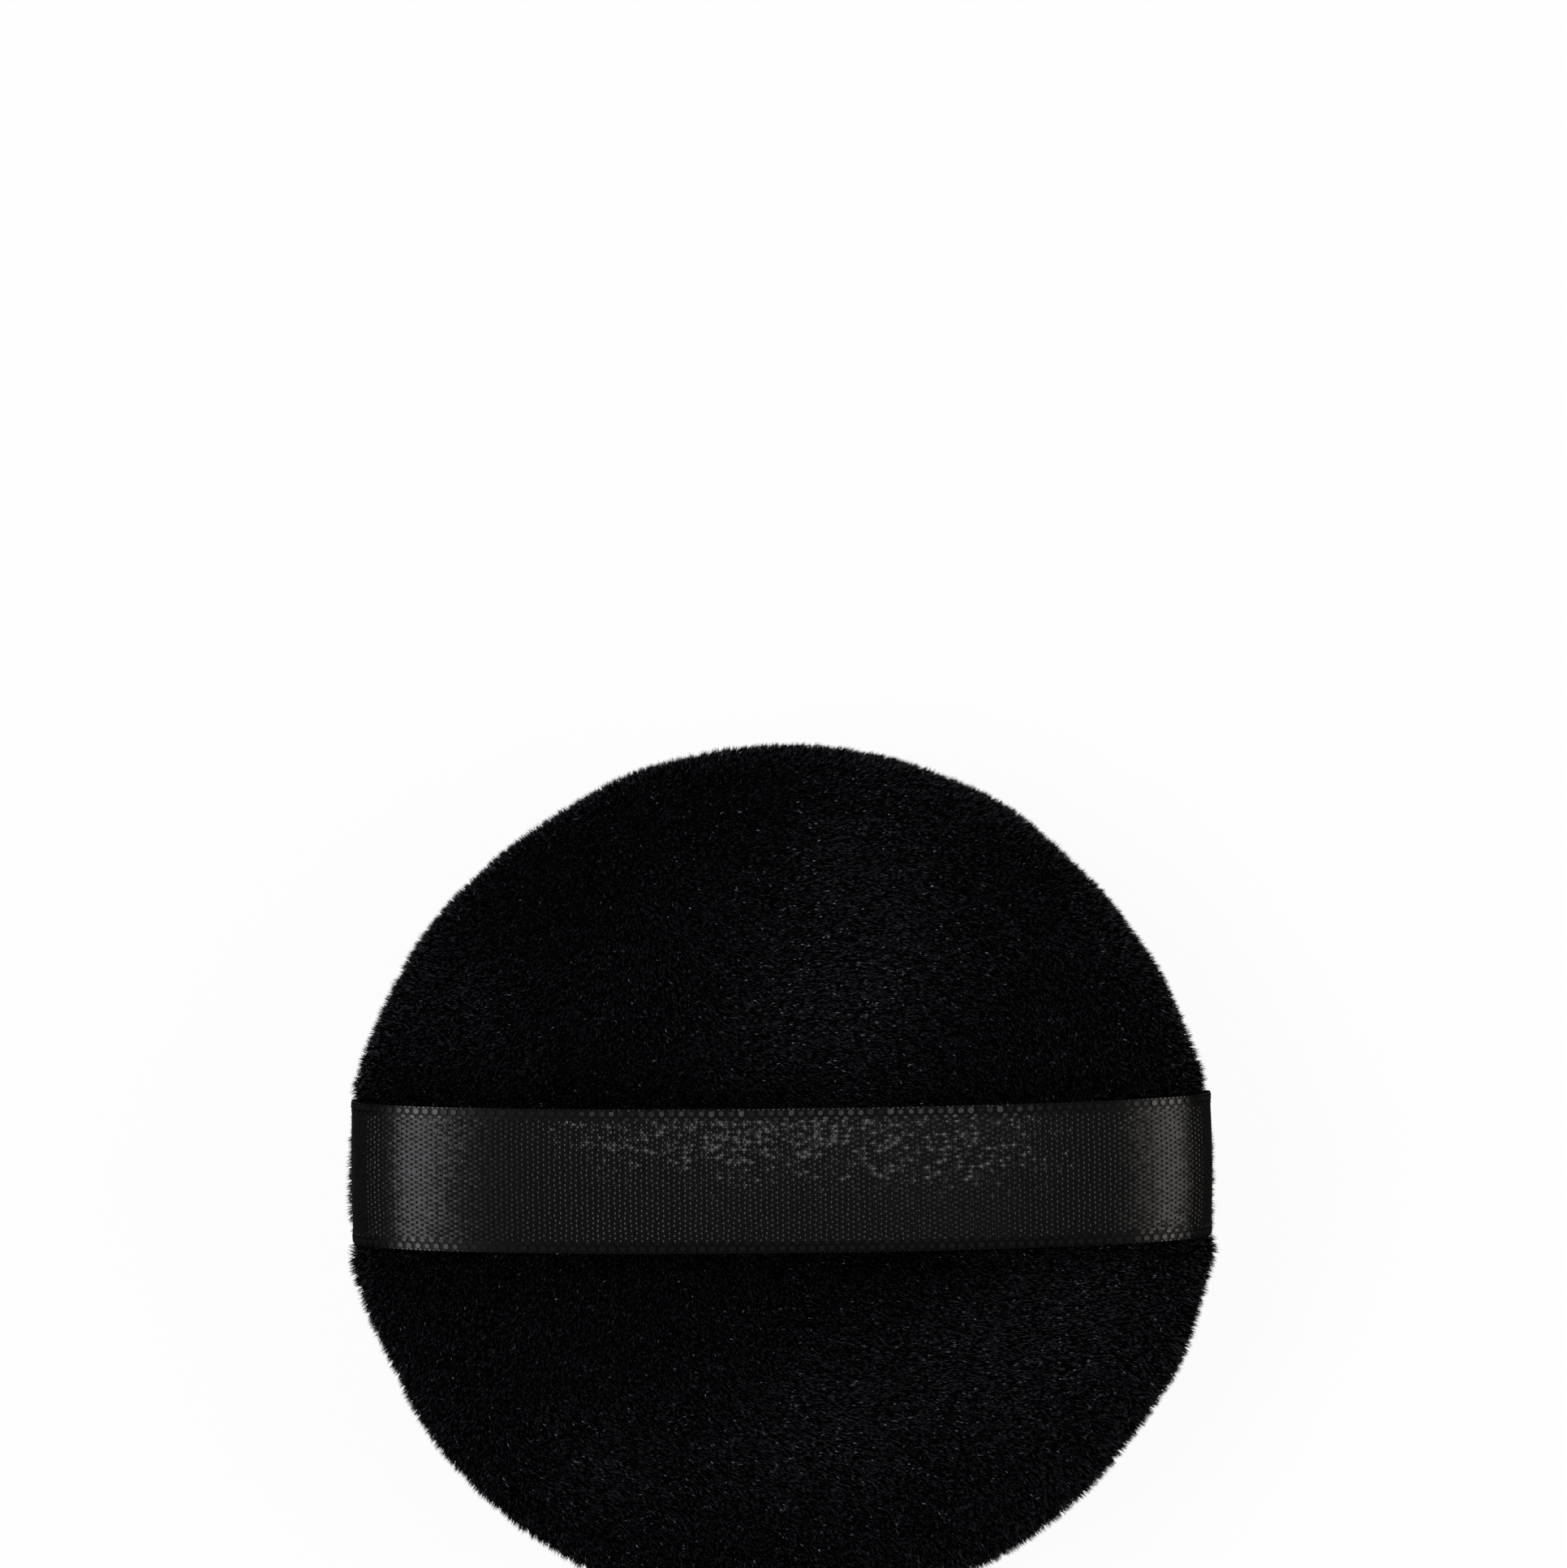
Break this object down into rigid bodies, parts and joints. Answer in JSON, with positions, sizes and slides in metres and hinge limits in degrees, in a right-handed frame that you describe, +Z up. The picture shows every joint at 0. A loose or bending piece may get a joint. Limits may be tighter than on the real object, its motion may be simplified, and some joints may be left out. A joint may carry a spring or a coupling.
{
  "type": "powder puff",
  "caption": "Round padded velour puff with a satin ribbon across its back as a finger loop, for picking up face powder and pressing it on.",
  "frame": {"origin": "under the middle of the puff, on the surface that it rests on", "axes": "+Z up out of the ribbon side, X along the ribbon, Y across the ribbon"},
  "size_m": [0.08, 0.08, 0.0217],
  "materials": {
    "velour": "black polyester velour with a dense short pile",
    "satin_ribbon": "black woven satin ribbon with a picot-like selvedge on both edges",
    "foam": "soft open-cell foam, off-white",
    "sewing_thread": "black polyester sewing thread"
  },
  "bodies": {
    "puff": {"back_velour": "velour", "face_velour": "velour", "foam_core": "foam", "rim_seam_thread": "sewing_thread", "closing_thread": "sewing_thread", "ribbon_tack_left": "sewing_thread", "ribbon_tack_right": "sewing_thread"},
    "ribbon": {"ribbon_strap": "satin_ribbon"}
  },
  "joints": [
    {"name": "ribbon_lift", "type": "slide", "parent": "puff", "child": "ribbon", "axis": [0, 0, 1], "range_m": [-0.0045, 0.008], "stiffness_N_per_m": 20, "deforming": ["ribbon_strap"]}
  ]
}
